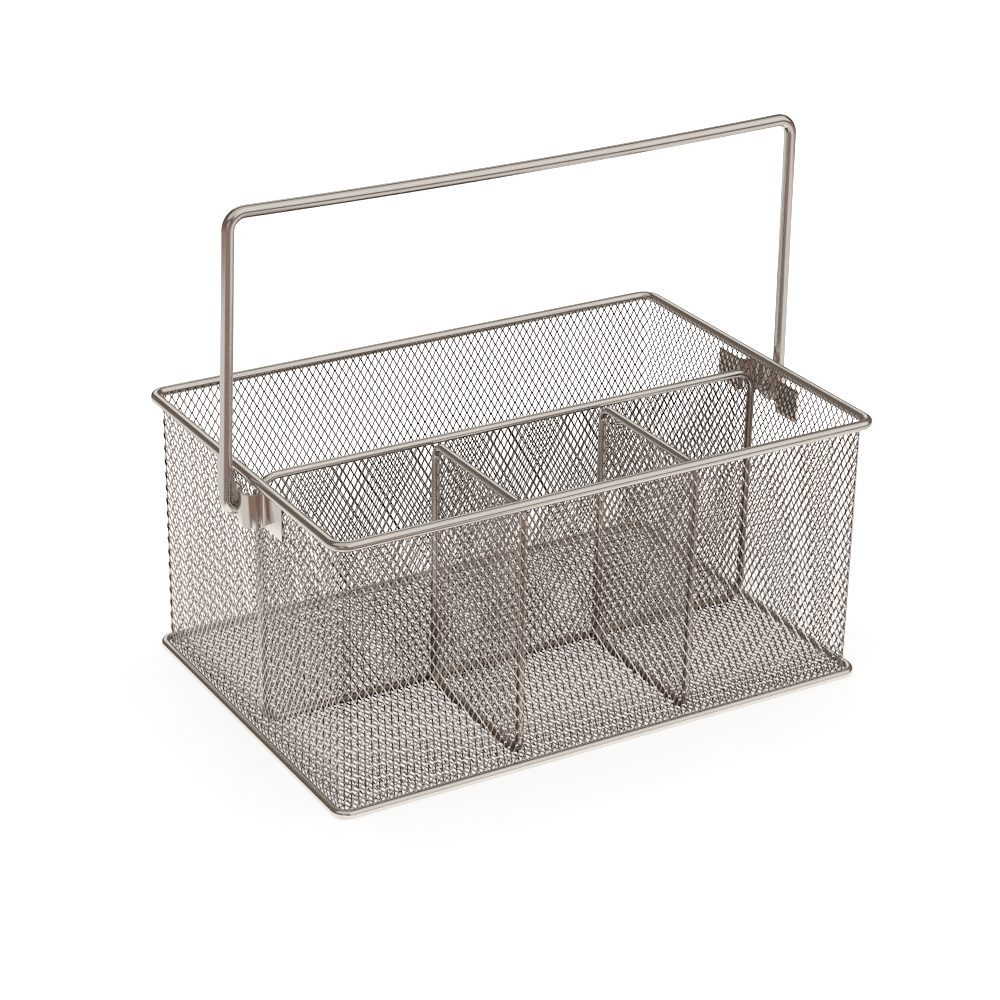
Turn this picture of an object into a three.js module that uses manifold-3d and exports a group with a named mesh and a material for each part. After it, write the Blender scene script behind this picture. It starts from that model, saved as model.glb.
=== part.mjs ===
// Utensil caddy: a wire-and-mesh basket with three front pockets, one long back pocket and a swinging
// bail handle. Millimetres, +Z up, X along the length, front at -Y. The origin is on the table, under the
// middle of the basket.
import * as THREE from 'three';
import { mergeGeometries, mergeVertices } from 'three/addons/utils/BufferGeometryUtils.js';
import Module from 'manifold-3d';

const wasm = await Module();
wasm.setup();

// Basket wires. Lengths and depths are measured on the wire's centre line.
const RIM_LENGTH = 290;
const RIM_DEPTH = 198;
const RIM_TOP = 140.2;
const RIM_WIRE = 5;
const BASE_WIRE = 4.6;
const CORNER_RADIUS = 7;

// Mesh sheet, and the gap left between neighbours that are welded in the real basket.
const SHEET = 1.2;
const FIT_GAP = 0.3;
const WALL_RISE = 0.4; // top edge of the walls above the rim's centre line
const WALL_FOOT = 1; // bottom edge of the walls above the table
const FLOOR_HEIGHT = 2; // underside of the floor sheet above the table

// Diamond gaps of the mesh, drawn larger and fewer than the real ones.
const NET_WIDE = 36;
const NET_TALL = 60;
const NET_STRAND = 4.6;
const NET_BORDER = 3.5;
const NET_LEAST_GAP = 12; // a clipped gap smaller than this area, in square millimetres, is left closed

// Dividers: closed wire frames filled with mesh.
const DIVIDER_WIRE = 4;
const DIVIDER_TOP = 135; // top of the divider wires above the table
const DIVIDER_LINE = -6.5; // Y of the long divider, the handle and its brackets
const LONG_DIVIDER_BEND = 10;
const CROSS_DIVIDER_BEND = 7;
const FRONT_POCKETS = 3;

// Handle: a round wire bail whose bent-in ends are the pivot pins.
const HANDLE_WIRE = 6;
const HANDLE_TOP = 267.8; // top of the bar, at its ends
const HANDLE_LEAN = 4; // how far each leg leans in between the pivot and the bar
const HANDLE_TILT = THREE.MathUtils.degToRad(1.24); // how far the bail stands forward of upright
const HANDLE_DIP = 3.6; // how far below the bar's ends its two sloping halves would meet
const HANDLE_TOP_BEND = 8;
const HANDLE_PIN_BEND = 6;
const PIN_TO_WALL = 3; // clear space behind the pin's end
const PIN_CLEARANCE = 0.35;
const SWING_CLEARANCE = 0.6; // between the legs and the bracket humps

// Brackets: one bent strap on each end wall, with a hump on each side of the leg.
const STRAP = 1;
const STRAP_HEIGHT = 17;
const STRAP_BELOW_RIM = 2.5; // clear space between the strap and the rim wire above it
const STRAP_HALF_LENGTH = 34;
const PIN_BELOW_MIDDLE = 3.2; // how far the pin's hole is below the middle of the strap
const HUMP_DEPTH = 9.4; // outer face of the humps, from the back of the strap
const VALLEY_DEPTH = 6.5; // outer face of the strap between the humps, from the back of the strap
const HUMP_OUTER_SIDE = 15; // middle of the strap in the humps' outer sides
const HUMP_INNER_SIDE = 4.4; // where the humps' tops would end if they were sharp
const VALLEY_HALF_WIDTH = 3.4; // where the valley's floor would end if it were sharp
const WING_BEND = 2.5;
const HUMP_OUTER_BEND = 5;
const HUMP_INNER_BEND = 2.6;
const VALLEY_BEND = 1.2;

// Facets: greatest distance between a bend and its chords, and the sides of each round wire.
const CHORD_ERROR = 0.06;
const LOOP_SIDES = 11; // odd, so that one flat side of the base wire faces the table
const HANDLE_SIDES = 12;
const DIVIDER_SIDES = 8;
const PIN_HOLE_SIDES = 24;
const MERGE_DISTANCE = 1e-4;

// Heights and places that follow from the sizes above.
const rimHeight = RIM_TOP - RIM_WIRE / 2;
const baseHeight = (BASE_WIRE / 2) * Math.cos(Math.PI / LOOP_SIDES);
const wallTop = rimHeight + WALL_RISE;
const wallHeight = wallTop - WALL_FOOT;
const wallInset = RIM_WIRE / 2 + FIT_GAP;
const wallHalfLength = RIM_LENGTH / 2 - wallInset;
const wallHalfDepth = RIM_DEPTH / 2 - wallInset;
const wallCornerRadius = CORNER_RADIUS - wallInset;
const insideHalfLength = wallHalfLength - SHEET;
const insideHalfDepth = wallHalfDepth - SHEET;
const insideCornerRadius = wallCornerRadius - SHEET;
const dividerFoot = FLOOR_HEIGHT + SHEET + FIT_GAP;
const dividerRise = DIVIDER_TOP - dividerFoot - DIVIDER_WIRE;
const dividerMiddle = (DIVIDER_TOP + dividerFoot) / 2;
const bracketBack = wallHalfLength + FIT_GAP;
const legAtPivot = bracketBack + HUMP_DEPTH + SWING_CLEARANCE + HANDLE_WIRE / 2;
const strapHeight = RIM_TOP - RIM_WIRE - STRAP_BELOW_RIM - STRAP_HEIGHT / 2;
const pivotHeight = strapHeight - PIN_BELOW_MIDDLE;
const barHeight = (HANDLE_TOP - HANDLE_WIRE / 2 - pivotHeight) / Math.cos(HANDLE_TILT);

const wireFinish = { color: 0xd0c8c0, roughness: 0.2, metalness: 1 };
const meshFinish = { color: 0xc2b9b0, roughness: 0.26, metalness: 1 };
const strapFinish = { color: 0xccc3ba, roughness: 0.22, metalness: 1 };

// Stations of a bent line: both ends of every straight run and points round every bend. A corner is
// [x, y, bend radius], and an open line's first and last corners are its ends.
function bentLine(corners, closed = false) {
  const stations = [];
  const last = corners.length - 1;
  corners.forEach(([x, y, radius], index) => {
    const corner = new THREE.Vector2(x, y);
    const before = new THREE.Vector2(...corners[index === 0 ? last : index - 1]);
    const after = new THREE.Vector2(...corners[index === last ? 0 : index + 1]);
    const arriving = corner.clone().sub(before).normalize();
    const leaving = after.clone().sub(corner).normalize();
    if (!closed && index === 0) {
      stations.push({ point: corner, along: leaving });
      return;
    }
    if (!closed && index === last) {
      stations.push({ point: corner, along: arriving });
      return;
    }
    const turn = Math.atan2(arriving.cross(leaving), arriving.dot(leaving));
    const run = radius * Math.tan(Math.abs(turn) / 2);
    const start = corner.clone().addScaledVector(arriving, -run);
    const inward = new THREE.Vector2(-arriving.y, arriving.x).multiplyScalar(Math.sign(turn));
    const centre = start.clone().addScaledVector(inward, radius);
    const steps = Math.ceil(Math.abs(turn) / Math.sqrt((8 * CHORD_ERROR) / radius));
    for (let step = 0; step <= steps; step += 1) {
      const angle = (turn * step) / steps;
      const point = start.clone().rotateAround(centre, angle);
      const along = arriving.clone().rotateAround(new THREE.Vector2(), angle);
      stations.push({ point, along });
    }
  });
  if (closed) {
    stations.push(stations[0]);
  }
  return stations;
}

// A wire's centre line in its own XY plane, read only at its stations.
class WirePath extends THREE.Curve {
  constructor(stations) {
    super();
    this.stations = stations;
    this.steps = stations.length - 1;
  }

  getPointAt(share, target = new THREE.Vector3()) {
    const { point } = this.stations[Math.round(share * this.steps)];
    return target.set(point.x, point.y, 0);
  }

  getTangentAt(share, target = new THREE.Vector3()) {
    const { along } = this.stations[Math.round(share * this.steps)];
    return target.set(along.x, along.y, 0);
  }
}

// A round wire bent along an open line, with flat ends.
function bentWire(corners, diameter, sides) {
  const path = new WirePath(bentLine(corners));
  const section = new THREE.Shape();
  for (let side = 0; side < sides; side += 1) {
    const angle = ((side + 0.5) * 2 * Math.PI) / sides;
    const reach = diameter / 2;
    const place = [reach * Math.cos(angle), reach * Math.sin(angle)];
    if (side === 0) {
      section.moveTo(...place);
    } else {
      section.lineTo(...place);
    }
  }
  section.closePath();
  return new THREE.ExtrudeGeometry(section, { steps: path.steps, extrudePath: path });
}

// A round wire bent into a closed rounded rectangle, centred on the origin. The length and the width are
// measured on the wire's centre line.
function wireLoop(length, width, bend, diameter, sides) {
  const x = length / 2;
  const y = width / 2;
  const corners = [[x, -y, bend], [x, y, bend], [-x, y, bend], [-x, -y, bend]];
  const path = new WirePath(bentLine(corners, true));
  return new THREE.TubeGeometry(path, path.steps, diameter / 2, sides, true);
}

// The part of a polygon on one side of a line through `edge`, with `inward` pointing to the kept side.
function clipPolygon(polygon, edge, inward) {
  const kept = [];
  polygon.forEach((point, index) => {
    const next = polygon[(index + 1) % polygon.length];
    const here = point.clone().sub(edge).dot(inward);
    const there = next.clone().sub(edge).dot(inward);
    if (here >= 0) {
      kept.push(point.clone());
    }
    if (here * there < 0) {
      kept.push(point.clone().lerp(next, here / (here - there)));
    }
  });
  return kept;
}

// Diamond gaps on a staggered lattice, clipped to a rectangle that is centred on the origin.
function diamondGaps(width, height) {
  const halfWide = NET_WIDE / 2;
  const halfTall = NET_TALL / 2;
  const edgeDistance = (halfWide * halfTall) / Math.hypot(halfWide, halfTall);
  const share = (edgeDistance - NET_STRAND / 2) / edgeDistance;
  const right = new THREE.Vector2(width / 2 - NET_BORDER, 0);
  const top = new THREE.Vector2(0, height / 2 - NET_BORDER);
  const columns = Math.ceil(width / NET_WIDE);
  const rows = Math.ceil(height / NET_TALL);
  const gaps = [];
  for (let row = -rows; row <= rows; row += 1) {
    for (let column = -columns; column <= columns; column += 1) {
      const x = column * NET_WIDE + (row % 2 === 0 ? 0 : halfWide);
      const y = row * halfTall;
      let gap = [
        new THREE.Vector2(x + halfWide * share, y),
        new THREE.Vector2(x, y + halfTall * share),
        new THREE.Vector2(x - halfWide * share, y),
        new THREE.Vector2(x, y - halfTall * share),
      ];
      gap = clipPolygon(gap, right, new THREE.Vector2(-1, 0));
      gap = clipPolygon(gap, right.clone().negate(), new THREE.Vector2(1, 0));
      gap = clipPolygon(gap, top, new THREE.Vector2(0, -1));
      gap = clipPolygon(gap, top.clone().negate(), new THREE.Vector2(0, 1));
      if (gap.length > 2 && Math.abs(THREE.ShapeUtils.area(gap)) > NET_LEAST_GAP) {
        gaps.push(gap);
      }
    }
  }
  return gaps;
}

// A closed mesh as a solid that can be joined and cut.
function toSolid(geometry) {
  const bare = geometry.clone();
  bare.deleteAttribute('normal');
  bare.deleteAttribute('uv');
  const merged = mergeVertices(bare, MERGE_DISTANCE);
  return new wasm.Manifold(new wasm.Mesh({
    numProp: 3,
    vertProperties: Float32Array.from(merged.attributes.position.array),
    triVerts: Uint32Array.from(merged.index.array),
  }));
}

function toGeometry(solid) {
  const mesh = solid.getMesh();
  const geometry = new THREE.BufferGeometry();
  geometry.setAttribute('position', new THREE.BufferAttribute(mesh.vertProperties, mesh.numProp));
  geometry.setIndex(new THREE.BufferAttribute(mesh.triVerts, 1));
  geometry.computeVertexNormals();
  return geometry;
}

// A flat mesh sheet in the XY plane, centred on the origin. A radius of 0 leaves its corners sharp.
function meshSheet(width, height, radius = 0) {
  const x = width / 2;
  const y = height / 2;
  const corners = [[x, -y, radius], [x, y, radius], [-x, y, radius], [-x, -y, radius]];
  let outline = corners.map((corner) => new THREE.Vector2(...corner));
  if (radius > 0) {
    outline = bentLine(corners, true).slice(0, -1).map((station) => station.point);
  }
  const plate = new THREE.ExtrudeGeometry(new THREE.Shape(outline), { depth: SHEET, bevelEnabled: false });
  plate.translate(0, 0, -SHEET / 2);
  const cutters = diamondGaps(width, height).map((gap) => {
    const cutter = new THREE.ExtrudeGeometry(new THREE.Shape(gap), { depth: 2 * SHEET, bevelEnabled: false });
    return cutter.translate(0, 0, -SHEET);
  });
  if (cutters.length === 0) {
    return plate;
  }
  return toGeometry(toSolid(plate).subtract(toSolid(mergeGeometries(cutters))));
}

// A band of constant thickness along a bent line, as an outline.
function bandOutline(corners, thickness) {
  const stations = bentLine(corners);
  const side = (sign) => stations.map(({ point, along }) => {
    const across = new THREE.Vector2(-along.y, along.x);
    return point.clone().addScaledVector(across, (sign * thickness) / 2);
  });
  return new THREE.Shape([...side(-1), ...side(1).reverse()]);
}

// Front or back wall: a flat net whose two ends are bent round the basket's corners. Stands in the XZ plane
// with its outer face at y = 0 and its bent ends behind it, at +y.
function bentWall() {
  const flatHalf = wallHalfLength - wallCornerRadius;
  const net = meshSheet(2 * flatHalf, wallHeight);
  net.rotateX(Math.PI / 2);
  net.translate(0, SHEET / 2, 0);
  const middle = SHEET / 2;
  const bendRadius = wallCornerRadius - middle;
  let wall = toSolid(net);
  for (const end of [-1, 1]) {
    const strip = bandOutline([
      [end * (flatHalf - NET_BORDER / 2), middle, 0],
      [end * (wallHalfLength - middle), middle, bendRadius],
      [end * (wallHalfLength - middle), wallCornerRadius + FIT_GAP, 0],
    ], SHEET);
    const bend = new THREE.ExtrudeGeometry(strip, { depth: wallHeight, bevelEnabled: false });
    bend.translate(0, 0, -wallHeight / 2);
    wall = wall.add(toSolid(bend));
  }
  return toGeometry(wall);
}

// Bracket strap: wings flat on the wall, a hump on each side of the leg and a hole for the pin between them.
// Local x runs along the wall and y points away from it.
function bracketStrap() {
  const wing = STRAP / 2;
  const hump = HUMP_DEPTH - STRAP / 2;
  const valley = VALLEY_DEPTH - STRAP / 2;
  const half = [
    [STRAP_HALF_LENGTH, wing, 0],
    [HUMP_OUTER_SIDE, wing, WING_BEND],
    [HUMP_OUTER_SIDE, hump, HUMP_OUTER_BEND],
    [HUMP_INNER_SIDE, hump, HUMP_INNER_BEND],
    [VALLEY_HALF_WIDTH, valley, VALLEY_BEND],
  ];
  const mirrored = half.map(([x, y, radius]) => [-x, y, radius]).reverse();
  const strip = bandOutline([...half, ...mirrored], STRAP);
  const strap = new THREE.ExtrudeGeometry(strip, { depth: STRAP_HEIGHT, bevelEnabled: false });
  strap.translate(0, 0, -STRAP_HEIGHT / 2);
  const holeRadius = HANDLE_WIRE / 2 + PIN_CLEARANCE;
  const pinHole = new THREE.CylinderGeometry(holeRadius, holeRadius, 2 * HUMP_DEPTH, PIN_HOLE_SIDES);
  pinHole.translate(0, HUMP_DEPTH, -PIN_BELOW_MIDDLE);
  return toGeometry(toSolid(strap).subtract(toSolid(pinHole)));
}

// Handle in its own XY plane: y is the height above the pivot.
function handleWire() {
  const pinEnd = wallHalfLength + PIN_TO_WALL;
  const barHalf = legAtPivot - HANDLE_LEAN;
  const slope = HANDLE_DIP / barHalf;
  const dipRadius = (barHalf - 2 * HANDLE_TOP_BEND) / slope;
  return bentWire([
    [-pinEnd, 0, 0],
    [-legAtPivot, 0, HANDLE_PIN_BEND],
    [-barHalf, barHeight, HANDLE_TOP_BEND],
    [0, barHeight - HANDLE_DIP, dipRadius],
    [barHalf, barHeight, HANDLE_TOP_BEND],
    [legAtPivot, 0, HANDLE_PIN_BEND],
    [pinEnd, 0, 0],
  ], HANDLE_WIRE, HANDLE_SIDES);
}

// A divider's wire frame, whose outer sides are `span` apart, centred on the origin.
function dividerFrame(span, bend) {
  return wireLoop(span - DIVIDER_WIRE, dividerRise, bend, DIVIDER_WIRE, DIVIDER_SIDES);
}

// The mesh that fills a divider's frame.
function dividerNet(span, bend) {
  const edge = DIVIDER_WIRE / 2 + FIT_GAP;
  return meshSheet(span - DIVIDER_WIRE - 2 * edge, dividerRise - 2 * edge, bend - edge);
}

const caddy = new THREE.Group();

function addPiece(name, geometry, finish, parent = caddy) {
  const piece = new THREE.Mesh(geometry, new THREE.MeshStandardMaterial(finish));
  piece.name = name;
  parent.add(piece);
  return piece;
}

// Rim and base.
const rimLoop = wireLoop(RIM_LENGTH, RIM_DEPTH, CORNER_RADIUS, RIM_WIRE, LOOP_SIDES);
addPiece('top_rim_wire', rimLoop, wireFinish).position.z = rimHeight;
const baseLoop = wireLoop(RIM_LENGTH, RIM_DEPTH, CORNER_RADIUS, BASE_WIRE, LOOP_SIDES);
addPiece('base_wire', baseLoop, wireFinish).position.z = baseHeight;

// Walls and floor.
const walls = new THREE.Group();
walls.position.z = WALL_FOOT + wallHeight / 2;
caddy.add(walls);
const wallGeometry = bentWall();
addPiece('front_wall_mesh', wallGeometry, meshFinish, walls).position.y = -wallHalfDepth;
const backWall = addPiece('back_wall_mesh', wallGeometry, meshFinish, walls);
backWall.position.y = wallHalfDepth;
backWall.rotation.z = Math.PI;
const endWidth = 2 * (wallHalfDepth - wallCornerRadius - 2 * FIT_GAP);
const endWallGeometry = meshSheet(endWidth, wallHeight);
for (const [name, side] of [['left_wall_mesh', -1], ['right_wall_mesh', 1]]) {
  const endWall = addPiece(name, endWallGeometry, meshFinish, walls);
  endWall.rotation.order = 'ZYX';
  endWall.rotation.set(Math.PI / 2, 0, Math.PI / 2);
  endWall.position.x = side * (wallHalfLength - SHEET / 2);
}
const floorLength = 2 * (insideHalfLength - FIT_GAP);
const floorDepth = 2 * (insideHalfDepth - FIT_GAP);
const floorRadius = insideCornerRadius - FIT_GAP;
const floorGeometry = meshSheet(floorLength, floorDepth, floorRadius);
addPiece('floor_mesh', floorGeometry, meshFinish).position.z = FLOOR_HEIGHT + SHEET / 2;

// Long divider, from end wall to end wall.
const longDivider = new THREE.Group();
longDivider.position.set(0, DIVIDER_LINE, dividerMiddle);
longDivider.rotation.x = Math.PI / 2;
caddy.add(longDivider);
const longSpan = 2 * (insideHalfLength - FIT_GAP);
addPiece('long_divider_wire', dividerFrame(longSpan, LONG_DIVIDER_BEND), wireFinish, longDivider);
addPiece('long_divider_mesh', dividerNet(longSpan, LONG_DIVIDER_BEND), meshFinish, longDivider);

// Cross dividers, from the front wall to the long divider.
const crossFront = -insideHalfDepth + FIT_GAP;
const crossBack = DIVIDER_LINE - DIVIDER_WIRE / 2 - FIT_GAP;
const crossSpan = crossBack - crossFront;
const pocketWidth = (2 * insideHalfLength) / FRONT_POCKETS;
for (const [side, place] of [['left', -pocketWidth / 2], ['right', pocketWidth / 2]]) {
  const crossDivider = new THREE.Group();
  crossDivider.position.set(place, (crossFront + crossBack) / 2, dividerMiddle);
  crossDivider.rotation.order = 'ZYX';
  crossDivider.rotation.set(Math.PI / 2, 0, Math.PI / 2);
  caddy.add(crossDivider);
  const frame = dividerFrame(crossSpan, CROSS_DIVIDER_BEND);
  addPiece(`${side}_cross_divider_wire`, frame, wireFinish, crossDivider);
  const net = dividerNet(crossSpan, CROSS_DIVIDER_BEND);
  addPiece(`${side}_cross_divider_mesh`, net, meshFinish, crossDivider);
}

// Handle and its two brackets.
const strapGeometry = bracketStrap();
for (const [name, side] of [['left_handle_bracket', -1], ['right_handle_bracket', 1]]) {
  const bracket = addPiece(name, strapGeometry, strapFinish);
  bracket.position.set(side * bracketBack, DIVIDER_LINE, strapHeight);
  bracket.rotation.z = (-side * Math.PI) / 2;
}
const handle = addPiece('handle_bail', handleWire(), wireFinish);
handle.position.set(0, DIVIDER_LINE, pivotHeight);
handle.rotation.x = Math.PI / 2 + HANDLE_TILT;

export default caddy;
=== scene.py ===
# %% [markdown]
# # A utensil caddy of wire and expanded metal
# The caddy is a basket: two loops of round wire, walls and floor of expanded metal, three dividers,
# two strap brackets and a bail handle that swings in them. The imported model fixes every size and
# place. Here each of its nodes is dressed by a finer piece that sits exactly where the node is.

# %% Load the frame
import math

import bpy
from mathutils import Matrix, Vector


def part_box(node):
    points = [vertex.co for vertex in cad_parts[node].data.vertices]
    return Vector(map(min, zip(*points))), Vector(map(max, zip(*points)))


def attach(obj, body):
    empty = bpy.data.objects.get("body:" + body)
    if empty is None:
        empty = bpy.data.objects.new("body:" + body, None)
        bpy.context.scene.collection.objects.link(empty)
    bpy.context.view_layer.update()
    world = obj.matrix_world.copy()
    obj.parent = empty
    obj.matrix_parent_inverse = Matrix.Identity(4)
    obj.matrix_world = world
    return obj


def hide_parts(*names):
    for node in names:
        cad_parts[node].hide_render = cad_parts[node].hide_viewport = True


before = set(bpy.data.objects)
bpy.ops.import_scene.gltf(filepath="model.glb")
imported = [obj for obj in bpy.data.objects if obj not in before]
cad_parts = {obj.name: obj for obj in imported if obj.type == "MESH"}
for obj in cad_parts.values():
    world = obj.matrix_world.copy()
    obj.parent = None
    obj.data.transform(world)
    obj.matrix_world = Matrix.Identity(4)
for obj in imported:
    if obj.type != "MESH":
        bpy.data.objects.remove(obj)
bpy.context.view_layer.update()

for leftover in ("Cube", "Light", "Camera"):
    if leftover in bpy.data.objects:
        bpy.data.objects.remove(bpy.data.objects[leftover])
print("nodes:", ", ".join(sorted(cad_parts)))


# %% [markdown]
# ## Working in millimetres
# Blender works in metres here, but a maker thinks of a 5 mm wire. One helper turns millimetres into
# metres, so that every size below can be read as it would be written on a drawing.

# %% Millimetres to metres
def mm(*lengths):
    """Millimetres in metres: one length as a number, three as a vector."""
    if len(lengths) == 1:
        return lengths[0] / 1000
    return Vector(length / 1000 for length in lengths)


RIM_LENGTH = mm(290)
RIM_DEPTH = mm(198)
RIM_HEIGHT = mm(137.7)
print(f"rim centre line {RIM_LENGTH:.3f} x {RIM_DEPTH:.3f} m")


# %% [markdown]
# ## Habits at the bench
# Everything is modelled with the operators that a hand would click. They act on all that is selected
# and on the active piece, so each job starts from a clean selection. A modifier is added, set and
# applied at once. A piece's place is written into its mesh, so that its object stays at the origin.

# %% Helpers for operators
def deselect():
    """A new primitive starts from nothing selected."""
    bpy.ops.object.select_all(action="DESELECT")


def pick(piece):
    """Selects one piece alone and makes it the active one."""
    deselect()
    piece.select_set(True)
    bpy.context.view_layer.objects.active = piece


def edit_all():
    """Opens the active piece in edit mode with all of it selected."""
    bpy.ops.object.mode_set(mode="EDIT")
    bpy.ops.mesh.select_all(action="SELECT")


def apply_modifier(piece, kind, **settings):
    bpy.ops.object.modifier_add(type=kind)
    modifier = piece.modifiers[-1]
    for name, value in settings.items():
        setattr(modifier, name, value)
    bpy.ops.object.modifier_apply(modifier=modifier.name)


def keep_place():
    """Writes the selected piece's place, turn and scale into its mesh."""
    bpy.ops.object.transform_apply(location=True, rotation=True, scale=True)


def set_down(piece, place, turn=(0, 0, 0)):
    """Turns and moves a piece that was made at the origin."""
    piece.location = place
    piece.rotation_euler = turn
    keep_place()


print("helpers ready")


# %% [markdown]
# ## A bending bench for wires
# All the round wires of the caddy were straight once and were bent round pins. A curve with a bevel
# could draw them too, but its rings bunch up in tight bends. So the wire is made as on a bench: a
# circle is the wire's end, extruding it feeds the wire forward, and spinning it round a point bends
# it. `follow` reads a list of corners with their bend radii and feeds and bends from one to the next.

# %% The bending bench
class Bench:
    """Feeds and bends the selected end of a piece that is in edit mode."""

    def __init__(self, place, along):
        self.place = Vector(place)
        self.along = Vector(along).normalized()

    def feed(self, distance):
        step = self.along * distance
        bpy.ops.mesh.extrude_region_move(TRANSFORM_OT_translate={"value": step})
        self.place += step

    def bend(self, heading, radius, steps):
        angle = self.along.angle(heading)
        axis = self.along.cross(heading).normalized()
        pin = self.place + axis.cross(self.along) * radius
        bpy.ops.mesh.spin(steps=steps, angle=-angle, center=pin, axis=axis)
        self.place = pin + Matrix.Rotation(angle, 3, axis) @ (self.place - pin)
        self.along = heading

    def follow(self, corners, end, steps=10):
        """corners are (point, bend radius) pairs; the wire stops at end."""
        points = [point for point, _ in corners] + [end]
        for (corner, radius), after in zip(corners, points[1:]):
            heading = (after - corner).normalized()
            run = radius * math.tan(self.along.angle(heading) / 2)
            self.feed((corner - self.place).length - run)
            self.bend(heading, radius, steps)
        self.feed((end - self.place).length)


WIRE_SIDES = 32


def wire_end(name, place, along, diameter):
    """The open end of a wire: a circle that faces along it."""
    deselect()
    bpy.ops.mesh.primitive_circle_add(
        vertices=WIRE_SIDES, radius=diameter / 2,
        location=place, rotation=Vector(along).to_track_quat("Z", "Y").to_euler())
    piece = bpy.context.object
    piece.name = name
    keep_place()
    edit_all()
    return piece


print("bench ready")


# %% [markdown]
# ## Finishing a piece
# Spinning and mirroring can turn faces inside out, so the normals are recalculated at the end, and
# only bends that are gentle enough are shaded smooth. `dress` then hands the piece over: it moves with
# its body, takes the place of its node, and prints how far it reaches past that node's box.

# %% Helpers for finishing
SMOOTH_BELOW = math.radians(35)


def mirror(piece, x=False, y=False):
    """Completes a half or a quarter across the middle of the caddy."""
    apply_modifier(piece, "MIRROR", use_axis=(x, y, False), merge_threshold=mm(0.01))


def face_outwards():
    """Turns every face of the active piece outwards."""
    edit_all()
    bpy.ops.mesh.normals_make_consistent(inside=False)
    bpy.ops.object.mode_set(mode="OBJECT")


def smooth_bends():
    bpy.ops.object.shade_smooth_by_angle(angle=SMOOTH_BELOW)


def dress(piece, node, body="basket"):
    """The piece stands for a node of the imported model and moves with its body."""
    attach(piece, body)
    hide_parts(node)
    low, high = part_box(node)
    mine = [vertex.co for vertex in piece.data.vertices]
    reach = max(
        max(low[axis] - min(co[axis] for co in mine), max(co[axis] for co in mine) - high[axis])
        for axis in range(3))
    print(f"{piece.name}: {len(piece.data.polygons)} faces, {reach * 1000:+.2f} mm past its node's box")


print("round parts are smooth below", round(math.degrees(SMOOTH_BELOW)), "degrees")


# %% [markdown]
# ## Rim and base
# The rim and the base are the same loop, bent from a 5 mm and a 4.6 mm wire. The loop is alike on
# all four sides, so only a quarter is bent, from the middle of one side to the middle of the next,
# and a Mirror modifier completes it. It is made flat at the origin and then set down in its place.

# %% Rim and base loops
RIM_WIRE = mm(5)
BASE_WIRE = mm(4.6)
CORNER_BEND = mm(7)


def wire_loop(name, length, width, bend, diameter):
    start = Vector((0, -width / 2, 0))
    corner = Vector((length / 2, -width / 2, 0))
    loop = wire_end(name, start, (1, 0, 0), diameter)
    Bench(start, (1, 0, 0)).follow([(corner, bend)], Vector((length / 2, 0, 0)))
    bpy.ops.object.mode_set(mode="OBJECT")
    mirror(loop, x=True, y=True)
    face_outwards()
    smooth_bends()
    return loop


rim = wire_loop("rim_loop", RIM_LENGTH, RIM_DEPTH, CORNER_BEND, RIM_WIRE)
set_down(rim, (0, 0, RIM_HEIGHT))
dress(rim, "top_rim_wire")
base = wire_loop("base_loop", RIM_LENGTH, RIM_DEPTH, CORNER_BEND, BASE_WIRE)
set_down(base, (0, 0, BASE_WIRE / 2))
dress(base, "base_wire")


# %% [markdown]
# ## Divider frames
# Each divider has a closed frame of 4 mm wire that stands on the floor. The long one runs from end
# wall to end wall, a little in front of the middle. The two short ones stand between it and the front
# wall: the left one is bent, and a copy with its own mesh is moved across for the right one.

# %% Divider frames
DIVIDER_WIRE = mm(4)
DIVIDER_LINE = mm(-6.5)
DIVIDER_LOW = mm(5.5)
DIVIDER_HIGH = mm(133)
LONG_HALF = mm(138.7)
LONG_BEND = mm(10)
CROSS_FRONT = mm(-92.7)
CROSS_BACK = mm(-10.8)
CROSS_BEND = mm(7)
POCKET_HALF = mm(47)
UPRIGHT = (math.pi / 2, 0, 0)
UPRIGHT_ACROSS = (math.pi / 2, 0, math.pi / 2)
long_span = 2 * LONG_HALF
cross_span = CROSS_BACK - CROSS_FRONT
divider_rise = DIVIDER_HIGH - DIVIDER_LOW
divider_middle = (DIVIDER_HIGH + DIVIDER_LOW) / 2
long_place = (0, DIVIDER_LINE, divider_middle)
left_cross_place = (-POCKET_HALF, (CROSS_FRONT + CROSS_BACK) / 2, divider_middle)


def copy_across(piece, name):
    """A copy with its own mesh, moved from the left cross divider to the right one."""
    pick(piece)
    bpy.ops.object.duplicate(linked=False)
    twin = bpy.context.object
    twin.name = name
    set_down(twin, (2 * POCKET_HALF, 0, 0))
    return twin


long_wire = wire_loop("long_divider_frame", long_span, divider_rise, LONG_BEND, DIVIDER_WIRE)
set_down(long_wire, long_place, UPRIGHT)
left_cross_wire = wire_loop(
    "left_cross_divider_frame", cross_span, divider_rise, CROSS_BEND, DIVIDER_WIRE)
set_down(left_cross_wire, left_cross_place, UPRIGHT_ACROSS)
right_cross_wire = copy_across(left_cross_wire, "right_cross_divider_frame")
dress(long_wire, "long_divider_wire")
dress(left_cross_wire, "left_cross_divider_wire")
dress(right_cross_wire, "right_cross_divider_wire")


# %% [markdown]
# ## Handle
# The bail is the thickest wire, 6 mm. Its bar dips a little in the middle, its legs lean in towards
# the top, and at the bottom each leg turns in through its bracket: that bent end is the pivot pin.
# It stands just forward of upright. Half of it is bent from the middle of the bar to the pin, the
# pin's edge is rounded, and a Mirror modifier adds the other half.

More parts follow.
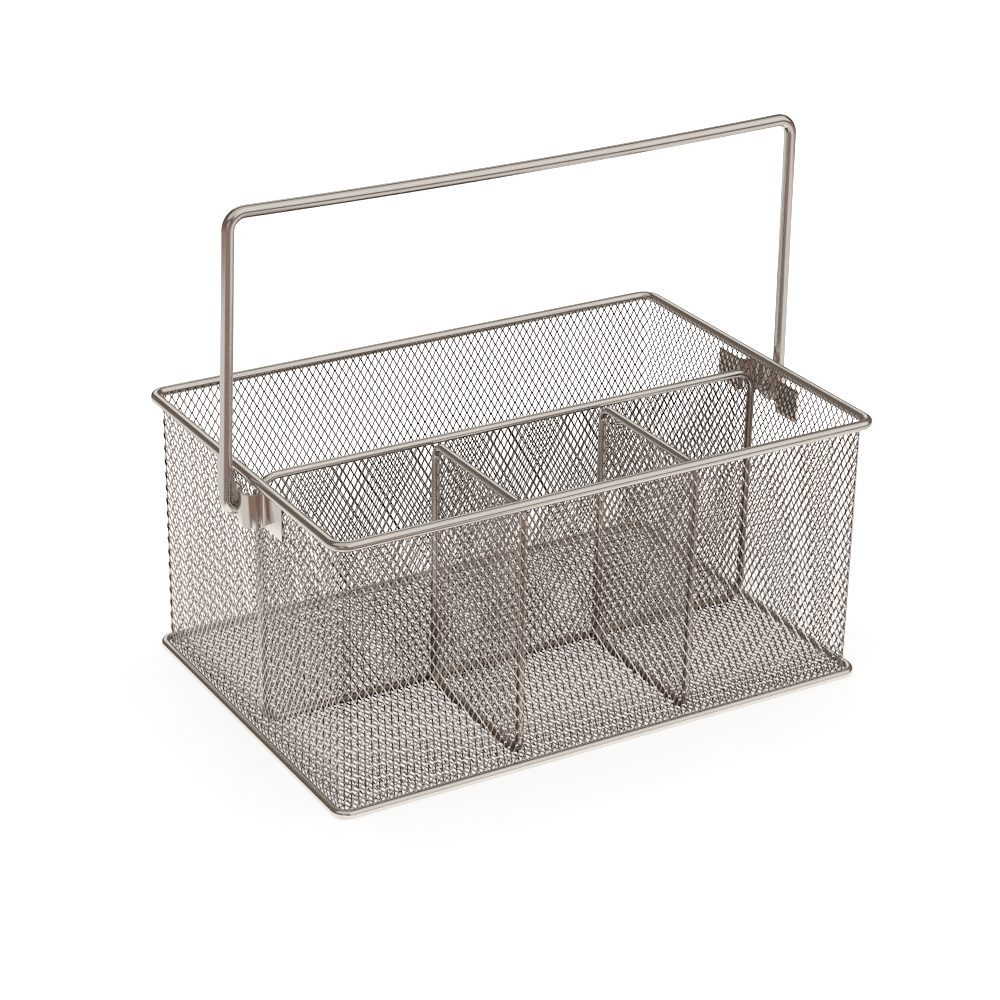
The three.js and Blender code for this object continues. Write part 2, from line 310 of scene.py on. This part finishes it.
# %% Handle
HANDLE_WIRE = mm(6)
PIVOT = Vector((0, DIVIDER_LINE, mm(121)))
LEG_AT_PIVOT = mm(155.5)
BAR_HALF = mm(151.5)
BAR_HEIGHT = mm(143.83)
BAR_DIP = mm(3.6)
BAR_STRAIGHT = mm(16)
BAR_BEND = mm(8)
PIN_BEND = mm(6)
PIN_END = mm(145.2)
PIN_ROUNDING = mm(0.8)
FORWARD_TILT = math.radians(1.24)
bar_slope = BAR_DIP / BAR_HALF
dip_radius = (BAR_HALF - BAR_STRAIGHT) / bar_slope
dip_angle = math.atan(bar_slope)
bar_middle = BAR_HEIGHT - BAR_DIP + dip_radius * (1 / math.cos(dip_angle) - 1)


def above_pivot(x, height):
    return PIVOT + Vector((x, -height * math.sin(FORWARD_TILT), height * math.cos(FORWARD_TILT)))


bar_start = above_pivot(0, bar_middle)
handle = wire_end("handle", bar_start, (1, 0, 0), HANDLE_WIRE)
Bench(bar_start, (1, 0, 0)).follow([
    (above_pivot(dip_radius * math.tan(dip_angle / 2), bar_middle), dip_radius),
    (above_pivot(BAR_HALF, BAR_HEIGHT), BAR_BEND),
    (above_pivot(LEG_AT_PIVOT, 0), PIN_BEND),
], above_pivot(PIN_END, 0), steps=12)
bpy.ops.mesh.edge_face_add()
bpy.ops.mesh.bevel(offset=PIN_ROUNDING, segments=4, affect="EDGES")
bpy.ops.object.mode_set(mode="OBJECT")
mirror(handle, x=True)
face_outwards()
smooth_bends()
dress(handle, "handle_bail", body="handle")


# %% [markdown]
# ## Bracket strap
# Each bracket is a strap 1 mm thick and 17 mm tall: two wings lie flat on the end wall, and between
# them two humps stand out with a shallow valley where the pin goes through. The same bench bends it,
# with a thin rounded rectangle in place of the circle. Half of its line is written down in
# millimetres, from the end of a wing to the valley: the place along the wall from the pivot, how far
# it stands out from the strap's back, and the radius of the bend there.

# %% Bracket strap
STRAP = mm(1)
STRAP_HEIGHT = mm(17)
STRAP_ROUNDING = mm(0.3)
BRACKET_BACK = mm(142.5)
PIN_BELOW_MIDDLE = mm(3.2)
HALF_STRAP = [(34, 0.5, 0), (15, 0.5, 2.5), (15, 8.9, 5), (4.4, 8.9, 2.6), (3.4, 6, 1.2)]
strap_line = [(-sideways, out, bend) for sideways, out, bend in HALF_STRAP] + HALF_STRAP[::-1]
strap_points = [
    PIVOT + Vector((-BRACKET_BACK - mm(out), mm(sideways), PIN_BELOW_MIDDLE))
    for sideways, out, _ in strap_line]
strap_bends = [mm(bend) for _, _, bend in strap_line]

deselect()
bpy.ops.mesh.primitive_plane_add(size=1, location=strap_points[0], rotation=UPRIGHT)
left_bracket = bpy.context.object
left_bracket.name = "left_bracket_strap"
left_bracket.scale = (STRAP, STRAP_HEIGHT, 1)
keep_place()
edit_all()
bpy.ops.mesh.bevel(offset=STRAP_ROUNDING, segments=3, affect="VERTICES")
bpy.ops.mesh.select_all(action="SELECT")
Bench(strap_points[0], (0, 1, 0)).follow(
    list(zip(strap_points, strap_bends))[1:-1], strap_points[-1], steps=8)
bpy.ops.object.mode_set(mode="OBJECT")
face_outwards()
smooth_bends()
print(f"strap {STRAP * 1000:.1f} x {STRAP_HEIGHT * 1000:.1f} mm")


# %% [markdown]
# ## Pin hole and second bracket
# The pin goes through the valley, a little below the strap's middle. A drill would make this hole, so
# a cylinder is placed there and taken away with a Boolean modifier. It stops short of the wall. The
# right bracket is the left one mirrored, which turns its faces inside out, so they are turned back.

# %% Pin hole and second bracket
PIN_HOLE_RADIUS = mm(3.35)
DRILL_LENGTH = mm(20)
DRILL_OUT = mm(11)

deselect()
bpy.ops.mesh.primitive_cylinder_add(
    vertices=48, radius=PIN_HOLE_RADIUS, depth=DRILL_LENGTH,
    location=PIVOT - Vector((BRACKET_BACK + DRILL_OUT, 0, 0)), rotation=(0, math.pi / 2, 0))
drill = bpy.context.object
pick(left_bracket)
apply_modifier(left_bracket, "BOOLEAN", operation="DIFFERENCE", object=drill)
bpy.data.objects.remove(drill)
smooth_bends()

bpy.ops.object.duplicate(linked=False)
right_bracket = bpy.context.object
right_bracket.name = "right_bracket_strap"
right_bracket.scale.x = -1
keep_place()
face_outwards()
smooth_bends()
dress(left_bracket, "left_handle_bracket")
dress(right_bracket, "right_handle_bracket")


# %% [markdown]
# ## Expanded metal
# Expanded metal is a sheet that is slit in staggered rows and pulled open. Each strip between two
# rows of slits becomes a zigzag strand, turned a little out of the sheet, and touches its neighbours
# at the bonds. A net drawn as a picture would be flat, so the strand itself is modelled: a small
# tilted rectangle is extruded up along a bond, across to the next bond, up along it, and back. That
# is one diamond.

# %% One zigzag strand
DIAMOND_WIDE = mm(4.2)
DIAMOND_TALL = mm(7.05)
BOND_TALL = mm(0.7)
STRAND_WIDE = mm(0.62)
STRAND_THICK = mm(0.5)
STRAND_TILT = math.radians(-33)


def zigzag_strand(wide, tall):
    """One strand over the height of one diamond, standing in the XZ plane."""
    lean = Vector((math.cos(STRAND_TILT), math.sin(STRAND_TILT), 0)) * STRAND_WIDE / 2
    deselect()
    bpy.ops.mesh.primitive_plane_add(size=1, location=lean, rotation=(0, 0, STRAND_TILT))
    strand = bpy.context.object
    strand.scale = (STRAND_WIDE, STRAND_THICK, 1)
    keep_place()
    edit_all()
    bpy.ops.mesh.delete(type="ONLY_FACE")
    bpy.ops.mesh.select_all(action="SELECT")
    bond = Vector((0, 0, BOND_TALL))
    rise = Vector((0, 0, tall / 2 - BOND_TALL))
    across = Vector((wide / 2, 0, 0)) - 2 * lean
    for step in (bond, rise + across, bond, rise - across):
        bpy.ops.mesh.extrude_region_move(TRANSFORM_OT_translate={"value": step})
    bpy.ops.object.mode_set(mode="OBJECT")
    return strand


print(f"diamonds {DIAMOND_WIDE * 1000:.2f} x {DIAMOND_TALL * 1000:.2f} mm")


# %% [markdown]
# ## Sheets of it
# Array modifiers stack the diamond into a tall strand, add the neighbour half a step up, and repeat
# the pair sideways, a little past every edge. Bisect then trims the sheet to size and closes the cut
# ends, and trims the corners too where a bend of wire or wall passes.

# %% Sheets of expanded metal
def repeat(piece, count, offset, joined=False):
    """A row of copies, each one offset further, with touching ends joined if asked."""
    apply_modifier(
        piece, "ARRAY", count=count, use_relative_offset=False, use_constant_offset=True,
        constant_offset_displace=offset, use_merge_vertices=joined, merge_threshold=mm(0.001))


def trim(place, outward):
    """Cuts the edited piece at a plane, drops what is beyond it and closes the cut ends."""
    bpy.ops.mesh.select_all(action="SELECT")
    bpy.ops.mesh.bisect(plane_co=place, plane_no=outward, use_fill=True, clear_outer=True)


def expanded_sheet(
        name, left, right, bottom, top, wide=DIAMOND_WIDE, tall=DIAMOND_TALL, corner_cut=0.0):
    """A flat sheet in the XZ plane, its long diamonds upright, between these edges."""
    sheet = zigzag_strand(wide, tall)
    sheet.name = name
    set_down(sheet, (left - wide, 0, bottom - tall))
    repeat(sheet, math.ceil((top - bottom) / tall) + 2, (0, 0, tall), joined=True)
    repeat(sheet, 2, (wide / 2, 0, tall / 2))
    repeat(sheet, math.ceil((right - left) / wide) + 2, (wide, 0, 0))
    bpy.ops.object.mode_set(mode="EDIT")
    trim((left, 0, 0), (-1, 0, 0))
    trim((right, 0, 0), (1, 0, 0))
    trim((0, 0, bottom), (0, 0, -1))
    trim((0, 0, top), (0, 0, 1))
    for x, side in ((left, -1), (right, 1)) if corner_cut else ():
        trim((x - side * corner_cut, 0, top), (side, 0, 1))
        trim((x - side * corner_cut, 0, bottom), (side, 0, -1))
    face_outwards()
    return sheet


print("sheets ready")


# %% [markdown]
# ## Walls
# The mesh goes round the corners without posts, so its diamonds should not jump there. Each wall gets
# a whole number of diamonds, narrower ones on the left end than elsewhere, and a Curve modifier lays
# the flat sheet along its own stretch of the basket's outline.

# %% Outline of the walls
WALL_HALF_LENGTH = mm(141.6)
WALL_HALF_DEPTH = mm(95.6)
WALL_CORNER = mm(3.6)
WALL_SEAM = mm(91.6)
CORNER_STEPS = 16


def basket_outline():
    """The line that the walls follow, from the front of the left end all the way round."""
    points = [Vector((-WALL_HALF_LENGTH, -WALL_SEAM, 0))]
    for quarter, (side_x, side_y) in enumerate(((-1, -1), (1, -1), (1, 1), (-1, 1))):
        pin = Vector((
            side_x * (WALL_HALF_LENGTH - WALL_CORNER), side_y * (WALL_HALF_DEPTH - WALL_CORNER), 0))
        for step in range(CORNER_STEPS + 1):
            angle = math.pi + (quarter + step / CORNER_STEPS) * math.pi / 2
            points.append(pin + WALL_CORNER * Vector((math.cos(angle), math.sin(angle), 0)))
    points.append(points[0])
    line = bpy.data.curves.new("basket_outline", "CURVE")
    line.dimensions = "2D"
    spline = line.splines.new("POLY")
    spline.points.add(len(points) - 1)
    for target, point in zip(spline.points, points):
        target.co = (*point, 1)
    guide = bpy.data.objects.new("basket_outline", line)
    bpy.context.scene.collection.objects.link(guide)
    return guide


end_run = 2 * WALL_SEAM
corner_run = WALL_HALF_DEPTH - WALL_CORNER - WALL_SEAM + WALL_CORNER * math.pi / 2
long_run = 2 * (WALL_HALF_LENGTH - WALL_CORNER + corner_run)
print(f"flat walls: long {long_run * 1000:.1f} mm, end {end_run * 1000:.1f} mm")


# %% [markdown]
# ## Laying the walls
# The sheets are made one after another along X, each where the last one stopped, because the Curve
# modifier reads a place along the line from X. The last number of each wall is its count of diamonds.

# %% Walls
WALL_FOOT = mm(1)
WALL_TOP = mm(138.1)
WALL_RUNS = (("front", long_run, 69), ("right", end_run, 43), ("back", long_run, 69), ("left", end_run, 48))

guide = basket_outline()
walls = {}
reached = 0.0
for wall, run, diamonds in WALL_RUNS:
    sheet = expanded_sheet(
        f"{wall}_wall_net", reached, reached + run, WALL_FOOT, WALL_TOP, wide=run / diamonds)
    apply_modifier(sheet, "CURVE", object=guide)
    dress(sheet, f"{wall}_wall_mesh")
    walls[wall] = sheet
    reached += run
bpy.data.objects.remove(guide)


# %% [markdown]
# ## Floor and divider nets
# The floor and the dividers are flat sheets of the same metal, the floor with its diamonds from front
# to back. Each is made upright at the origin, its corners are cut off where a bend of wire or wall
# passes, and it is turned and moved into place.

# %% Floor and divider nets
FLOOR_HALF_LENGTH = mm(140.6)
FLOOR_HALF_DEPTH = mm(94.6)
FLOOR_HEIGHT = mm(2.6)
FLAT = (-math.pi / 2, 0, 0)
ACROSS = (0, 0, math.pi / 2)
NET_EDGE = mm(1.9)

floor_net = expanded_sheet(
    "floor_net", -FLOOR_HALF_LENGTH, FLOOR_HALF_LENGTH, -FLOOR_HALF_DEPTH, FLOOR_HALF_DEPTH,
    wide=mm(3.7), tall=mm(7.15), corner_cut=mm(1.7))
set_down(floor_net, (0, 0, FLOOR_HEIGHT), FLAT)
dress(floor_net, "floor_mesh")


def divider_net(name, span, corner_cut):
    """The sheet inside a divider's frame, its edge just under the wire's inner side."""
    across = span / 2 - NET_EDGE
    up = divider_rise / 2 - NET_EDGE
    return expanded_sheet(name, -across, across, -up, up, corner_cut=corner_cut)


long_net = divider_net("long_divider_net", long_span, corner_cut=mm(4.6))
set_down(long_net, long_place)
dress(long_net, "long_divider_mesh")
left_cross_net = divider_net("left_cross_divider_net", cross_span, corner_cut=mm(3))
set_down(left_cross_net, left_cross_place, ACROSS)
right_cross_net = copy_across(left_cross_net, "right_cross_divider_net")
dress(left_cross_net, "left_cross_divider_mesh")
dress(right_cross_net, "right_cross_divider_mesh")


# %% [markdown]
# ## Shader sums
# A finish is worked out from noises and positions. Adding a Math node for every sum by hand hides
# the sum, so one small class wraps a socket and lets Python's own operators add the nodes.

# %% A socket that can be used in sums
class Wired:
    """A node socket. An operator adds the Math node that works it out; make adds any other node."""

    def __init__(self, tree, socket=None):
        self.tree = tree
        self.socket = socket

    def make(self, kind, settings=None, inputs=None, output=0):
        node = self.tree.nodes.new(kind)
        for name, value in (settings or {}).items():
            setattr(node, name, value)
        for name, value in (inputs or {}).items():
            if isinstance(value, Wired):
                self.tree.links.new(value.socket, node.inputs[name])
            else:
                node.inputs[name].default_value = value
        return Wired(self.tree, node.outputs[output] if node.outputs else None)

    def math(self, operation, *values):
        return self.make("ShaderNodeMath", {"operation": operation}, dict(enumerate(values)))

    def size(self):
        return self.math("ABSOLUTE", self)

    def __add__(self, other):
        return self.math("ADD", self, other)

    def __mul__(self, other):
        return self.math("MULTIPLY", self, other)

    def __sub__(self, other):
        return self.math("SUBTRACT", self, other)

    def __rsub__(self, other):
        return self.math("SUBTRACT", other, self)

    __radd__ = __add__
    __rmul__ = __mul__


print("sums ready")


# %% [markdown]
# ## Fades, directions and blends
# Three sums come back in every finish and in the light: a soft step between two values, how far a
# place or a ray lies in some direction, and a mix of two colours. Colours need a Mix node, because a
# Math node would turn them grey.

# %% Helpers for finishes
def blank_tree(owner):
    """Switches a material, a world or the compositor to nodes and empties its tree."""
    owner.use_nodes = True
    owner.node_tree.nodes.clear()
    return Wired(owner.node_tree)


def fade(value, low, high):
    """0 below low, 1 above high, and smooth between."""
    return value.make(
        "ShaderNodeMapRange", {"interpolation_type": "SMOOTHSTEP"},
        {"Value": value, "From Min": low, "From Max": high})


def along(vector, x, y, z):
    """How far a vector reaches along a direction."""
    return vector.make(
        "ShaderNodeVectorMath", {"operation": "DOT_PRODUCT"},
        {0: vector, 1: Vector((x, y, z)).normalized()}, output="Value")


def blend(factor, first, second):
    """Mixes two colours; each is red, green and blue, or worked out by nodes."""
    first, second = (
        colour if isinstance(colour, Wired) else (*colour, 1) for colour in (first, second))
    return factor.make(
        "ShaderNodeMix", {"data_type": "RGBA"},
        {"Factor": factor, "A": first, "B": second}, output="Result")


def coat(finish, *pieces):
    for piece in pieces:
        piece.data.materials.clear()
        piece.data.materials.append(finish)


print("blends ready")


# %% [markdown]
# ## Satin nickel
# Wires, straps and mesh all have the same warm satin plating. A plain metal shader would look like
# polished steel, so three things vary a little: the colour drifts in soft clouds where the plating is
# thicker, the roughness follows a finer grain, and a very fine bump breaks up the reflections. Deep
# between the nets the frames lie in shade, which is painted: a divider frame's colour darkens below
# its top bends, except near the left end, where the light comes in.

# %% Satin nickel
CLOUD_SCALE = 55.0
CLOUD_SHARE = 0.7
CLOUD_GLOSS = 0.08
GRAIN_GLOSS = 0.12
LIT_HEIGHT = (mm(118), mm(131))
LIT_LEFT_END = (mm(100), mm(130))


def satin_nickel(name, light, dark, roughness, grain, grain_depth, painted_shade=None):
    """Plating between two colours; the last argument is painted shade, the colour low down on a divider
    frame.
    """
    finish = bpy.data.materials.new(name)
    start = blank_tree(finish)
    place = start.make("ShaderNodeTexCoord", output="Object")
    clouds = start.make("ShaderNodeTexNoise", inputs={
        "Vector": place, "Scale": CLOUD_SCALE, "Detail": 3.0, "Roughness": 0.55})
    speckle = start.make("ShaderNodeTexNoise", inputs={
        "Vector": place, "Scale": grain, "Detail": 2.0, "Roughness": 0.6})
    plating = blend(clouds * CLOUD_SHARE + speckle * (1 - CLOUD_SHARE), dark, light)
    # painted shade: low on a divider frame the colour darkens, except where light comes in at the left end
    if painted_shade:
        lit = fade(along(place, 0, 0, 1), *LIT_HEIGHT) + fade(along(place, -1, 0, 0), *LIT_LEFT_END)
        plating = blend(lit, painted_shade, plating)
    bump = start.make("ShaderNodeBump", inputs={
        "Height": speckle, "Strength": 0.25, "Distance": grain_depth}, output="Normal")
    shader = start.make("ShaderNodeBsdfPrincipled", inputs={
        "Base Color": plating,
        "Metallic": 1.0,
        "Roughness": roughness + (speckle - 0.5) * GRAIN_GLOSS + (clouds - 0.5) * CLOUD_GLOSS,
        "Normal": bump,
    })
    start.make("ShaderNodeOutputMaterial", inputs={"Surface": shader})
    return finish


print("plating clouds about", round(1000 / CLOUD_SCALE), "mm wide")


# %% [markdown]
# ## Plating the pieces
# Drawn wire, sheared mesh and rolled strap differ in grain. The front and left walls and the cross
# nets are nearly as bright as the wires, and the floor has a little painted shade. The back and right
# walls and the long divider's net are seen from their shaded side: painted shade makes their colour
# much darker. The right bracket, seen through the mesh, has painted light: a paler colour than the left.

# %% Plating the pieces
drawn_wire = {
    "light": (0.72, 0.685, 0.65), "dark": (0.60, 0.57, 0.535),
    "roughness": 0.15, "grain": 2600.0, "grain_depth": mm(0.02)}
sheared_mesh = {"grain": 1500.0, "grain_depth": mm(0.02)}
rolled_strap = {"grain": 2200.0, "grain_depth": mm(0.006)}

wire_nickel = satin_nickel("wire_nickel", **drawn_wire)
mesh_nickel = satin_nickel(
    "mesh_nickel", (0.67, 0.615, 0.58), (0.56, 0.505, 0.47), 0.13, **sheared_mesh)
# divider frames: the drawn wire plating with painted shade low down
painted_shade_frame_nickel = satin_nickel("painted_shade_frame_nickel", painted_shade=(0.3, 0.255, 0.22), **drawn_wire)
painted_shade_cross_frame_nickel = satin_nickel("painted_shade_cross_frame_nickel", painted_shade=(0.46, 0.4, 0.36), **drawn_wire)
# painted shade: the floor's mesh is a little darker than the walls' mesh
floor_painted_shade_nickel = satin_nickel(
    "floor_painted_shade_nickel", (0.64, 0.575, 0.53), (0.53, 0.465, 0.42), 0.15, **sheared_mesh)
# painted shade: the sheared mesh made much darker for walls and net seen from their shaded side
painted_shade_nickel = satin_nickel(
    "painted_shade_nickel", (0.46, 0.42, 0.39), (0.37, 0.33, 0.305), 0.16, **sheared_mesh)
cross_nickel = satin_nickel(
    "cross_nickel", (0.68, 0.615, 0.57), (0.57, 0.51, 0.465), 0.16, **sheared_mesh)
strap_nickel = satin_nickel(
    "strap_nickel", (0.73, 0.685, 0.645), (0.61, 0.565, 0.525), 0.09, **rolled_strap)
# painted light: the right strap is given a paler colour than the left one
painted_light_strap_nickel = satin_nickel(
    "painted_light_strap_nickel", (0.9, 0.82, 0.755), (0.8, 0.72, 0.66), 0.16, **rolled_strap)
coat(wire_nickel, rim, base, handle)
coat(painted_shade_frame_nickel, long_wire)
coat(painted_shade_cross_frame_nickel, left_cross_wire, right_cross_wire)
coat(strap_nickel, left_bracket)
coat(painted_light_strap_nickel, right_bracket)
coat(mesh_nickel, walls["front"], walls["left"])
coat(floor_painted_shade_nickel, floor_net)
coat(painted_shade_nickel, walls["back"], walls["right"], long_net)
coat(cross_nickel, left_cross_net, right_cross_net)
print("finishes:", ", ".join(finish.name for finish in bpy.data.materials if "nickel" in finish.name))


# %% [markdown]
# ## What the metal sees of the table
# The caddy stands on a white light table, which is part of the stage and not of the object. Bare
# metal shows what is around it, and a real table ends somewhere. So the metal sees a white patch round
# the caddy, brightest close to it, a brown room beyond the patch's edge, which is near on the camera's
# side, and a painted shadow under the basket. All of it is worked out from the distance to the basket.

# %% Table as the metal sees it
CAMERA_SIDE = (-0.51, -0.86, 0)
NEAR_BROWN = (0.29, 0.24, 0.21)
FAR_BROWN = (0.35, 0.235, 0.2)
PAINTED_SHADOW_UNDER_BASKET = (0.1, 0.08, 0.07)

deselect()
bpy.ops.mesh.primitive_plane_add(size=8)
table = bpy.context.object
table.name = "table"
table_white = bpy.data.materials.new("table_white")
start = blank_tree(table_white)
spot = start.make("ShaderNodeTexCoord", output="Object")
distance = start.make("ShaderNodeVectorMath", {"operation": "LENGTH"}, {0: spot}, output="Value")
bearing = start.make("ShaderNodeVectorMath", {"operation": "NORMALIZE"}, {0: spot}, output="Vector")
past_end = along(spot, 1, 0, 0).size() - RIM_LENGTH / 2
past_front = along(spot, 0, 1, 0).size() - RIM_DEPTH / 2
from_basket = past_end.math("MAXIMUM", past_end, past_front)
near_edge = fade(from_basket, mm(50), mm(120)) * fade(along(bearing, *CAMERA_SIDE), 0.7, 0.88)
beyond = near_edge.math("MAXIMUM", near_edge, fade(distance, mm(800), mm(1000)))
brown_room = blend(fade(from_basket, mm(120), mm(220)), NEAR_BROWN, FAR_BROWN)
bright = 0.85 + fade(from_basket, mm(140), mm(50)) * 0.4
white_patch = start.make("ShaderNodeCombineColor", inputs={
    "Red": bright, "Green": bright * 0.98, "Blue": bright * 0.96})
open_table = blend(beyond, white_patch, brown_room)
# painted shadow: in the metal's reflections the table turns dark under the basket
reflected = blend(fade(from_basket, mm(4), mm(-10)), open_table, PAINTED_SHADOW_UNDER_BASKET)
in_metal = start.make("ShaderNodeEmission", inputs={"Color": reflected})
print("table", tuple(round(side, 1) for side in table.dimensions))


# %% [markdown]
# ## What the eye sees of the table
# To the eye the table is plain white. It glows, so that it stays white under the basket too, and it
# glows more away from the basket, so that the background is as white as overexposed paper. The Light
# Path node tells the rays that bounced off metal from all others.

# %% Table as the eye sees it
glow = 0.73 + fade(from_basket, mm(30), mm(200)) * 0.6
white_glow = start.make("ShaderNodeCombineColor", inputs={"Red": glow, "Green": glow, "Blue": glow})
to_eye = start.make("ShaderNodeBsdfPrincipled", inputs={
    "Base Color": (0.3, 0.3, 0.3, 1), "Roughness": 0.6, "Specular IOR Level": 0.1,
    "Emission Color": white_glow, "Emission Strength": 1.0})
glossy = start.make("ShaderNodeLightPath", output="Is Glossy Ray")
either = start.make("ShaderNodeMixShader", inputs={0: glossy, 1: to_eye, 2: in_metal})
start.make("ShaderNodeOutputMaterial", inputs={"Surface": either})
coat(table_white, table)
print("table finish:", table_white.name)


# %% [markdown]
# ## Studio light
# To the eye and to the table the room is a plain white tent. The metal sees it as a dim room with
# soft panels: one overhead, one at the front right, one low at the front left and a window behind.
# They give the round wires their pale bands, with thin dark lines where the room shows between them.
# A panel is where the ray lies close to a direction; the two numbers of its fade are its soft edge.

# %% Room
DIM_ROOM = (0.19, 0.155, 0.13)
PANEL_WHITE = (1, 0.985, 0.965)
TENT_WHITE = (1.05, 1.04, 1.03)

world = bpy.data.worlds.new("studio")
bpy.context.scene.world = world
room = blank_tree(world)
ray = room.make("ShaderNodeTexCoord", output="Generated")
overhead_panel = fade(along(ray, 0, 0, 1), 0.45, 0.6) * fade(along(ray, 0, 0.97, -0.24), 0.08, -0.08)
front_panel = fade(along(ray, 0.46, -0.78, 0.4), 0.72, 0.82) * fade(along(ray, 0, 0, 1), 0.08, 0.14)
back_window = fade(along(ray, 0.25, 0.78, 0.5), 0.93, 0.96)
left_panel = fade(along(ray, -0.68, -0.72, 0.12), 0.95, 0.99)
panels = overhead_panel * 0.7 + front_panel * 0.9 + back_window * 0.95 + left_panel * 0.5
glossy = room.make("ShaderNodeLightPath", output="Is Glossy Ray")
seen = blend(glossy, TENT_WHITE, blend(panels, DIM_ROOM, PANEL_WHITE))
sky = room.make("ShaderNodeBackground", inputs={"Color": seen})
room.make("ShaderNodeOutputWorld", inputs={"Surface": sky})
print("room ready")


# %% [markdown]
# ## Camera
# The photograph was taken with a long lens from the front left, a little above the rim. The camera
# stands at the place worked out from the basket's corners, and rolls by under a degree.

# %% Camera
AZIMUTH = math.radians(30.74)
ELEVATION = math.radians(24.93)
ROLL = math.radians(0.91)
DISTANCE = mm(1390.1)
SENSOR_WIDTH = 36
LENS_PER_SENSOR = 2.827
look_at = mm(-4.58, 0, 89.63)
back = Vector((
    -math.sin(AZIMUTH) * math.cos(ELEVATION), -math.cos(AZIMUTH) * math.cos(ELEVATION), math.sin(ELEVATION)))
right = Vector((0, 0, 1)).cross(back).normalized()
level_up = back.cross(right)
camera_x = right * math.cos(ROLL) + level_up * math.sin(ROLL)
camera_y = level_up * math.cos(ROLL) - right * math.sin(ROLL)

deselect()
bpy.ops.object.camera_add(location=look_at + back * DISTANCE)
camera = bpy.context.object
camera.rotation_euler = Matrix((camera_x, camera_y, back)).transposed().to_euler()
camera.data.sensor_width = SENSOR_WIDTH
camera.data.lens = SENSOR_WIDTH * LENS_PER_SENSOR
camera.data.clip_start = mm(50)
bpy.context.scene.camera = camera
bpy.context.scene.view_settings.view_transform = "Standard"
print("camera at", tuple(round(c, 3) for c in camera.location))


# %% [markdown]
# ## A touch of sharpening
# The photograph was sharpened for print, which makes the fine mesh crisp. The compositor does the same
# to the finished picture: a Filter node set to sharpen, mixed in lightly so that no halos show.

# %% Sharpening
picture = blank_tree(bpy.context.scene)
rendered = picture.make("CompositorNodeRLayers", output="Image")
crisp = picture.make(
    "CompositorNodeFilter", {"filter_type": "SHARPEN_DIAMOND"}, {"Fac": 0.08, "Image": rendered})
picture.make("CompositorNodeComposite", inputs={"Image": crisp})
print("sharpening ready")
